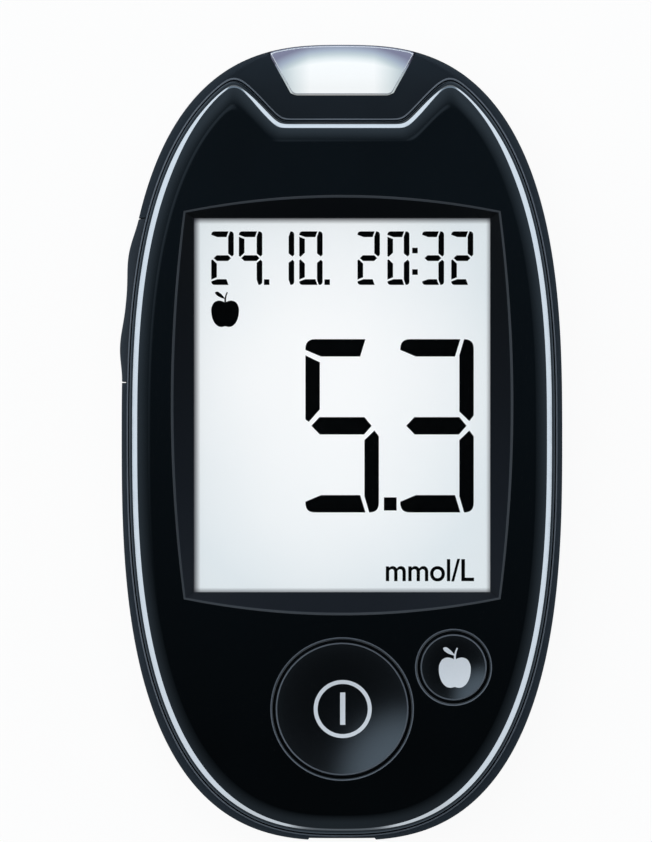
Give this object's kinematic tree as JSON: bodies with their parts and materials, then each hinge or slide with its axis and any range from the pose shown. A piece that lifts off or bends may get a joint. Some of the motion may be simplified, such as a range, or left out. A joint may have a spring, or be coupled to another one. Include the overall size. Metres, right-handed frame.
{
  "type": "blood glucose meter",
  "caption": "Palm-sized blood glucose meter with a notched glossy face, a large display, a round power button, a marker button, a side rocker, a strip port and a sliding battery cover.",
  "frame": {"origin": "middle of the flat back, under the centre of the object's bounding box", "axes": "+Z out of the display face, +Y towards the strip port, +X to the right of the face"},
  "size_m": [0.0556, 0.0999, 0.0204],
  "materials": {
    "face": "gloss",
    "back": "satin",
    "port": "gloss",
    "window": "clear",
    "display": "satin",
    "white_inner": "matte",
    "elastomer": "matte",
    "board": "satin",
    "steel": "brushed",
    "button": "satin gloss",
    "rocker": "satin",
    "dark_inner": "matte",
    "contact_metal": "bright",
    "ceramic_parts": "matte",
    "cell_wrap": "gloss"
  },
  "bodies": {
    "housing": {"front_shell": "face", "rear_shell": "back", "port_guide": "port", "display_window": "window", "lcd_glass": "display", "lcd_frame": "white_inner", "light_guide": "white_inner", "contact_strip": "elastomer", "main_board": "board", "snap_domes": "steel", "keypad_mat": "elastomer", "rocker_pin": "steel", "side_switches": "dark_inner", "strip_connector": "dark_inner", "strip_contacts": "contact_metal", "port_light": "white_inner", "main_chip": "dark_inner", "chip_parts": "ceramic_parts", "crystal": "steel", "buzzer": "dark_inner", "usb_socket": "steel", "usb_tongue": "dark_inner", "usb_pins": "contact_metal", "battery_left": "cell_wrap", "battery_right": "cell_wrap", "battery_springs": "steel", "battery_plates": "steel", "housing_screws": "steel"},
    "power_button": {"power_button": "button"},
    "marker_button": {"marker_button": "button"},
    "rocker": {"side_rocker": "rocker"},
    "cover": {"battery_cover": "back"}
  },
  "joints": [
    {"name": "power_press", "type": "slide", "parent": "housing", "child": "power_button", "axis": [0, 0, -1], "range_m": [0, 0.0004], "stiffness_N_per_m": 1500},
    {"name": "marker_press", "type": "slide", "parent": "housing", "child": "marker_button", "axis": [0, 0, -1], "range_m": [0, 0.0004], "stiffness_N_per_m": 1500},
    {"name": "rocker_tilt", "type": "hinge", "parent": "housing", "child": "rocker", "pos_m": [-0.02394, 0.01785, 0.0104], "axis": [0, 0, 1], "range_deg": [-2, 2], "stiffness_Nm_per_rad": 0.25},
    {"name": "cover_slide", "type": "slide", "parent": "housing", "child": "cover", "axis": [0, -1, 0], "range_m": [0, 0.005]}
  ]
}
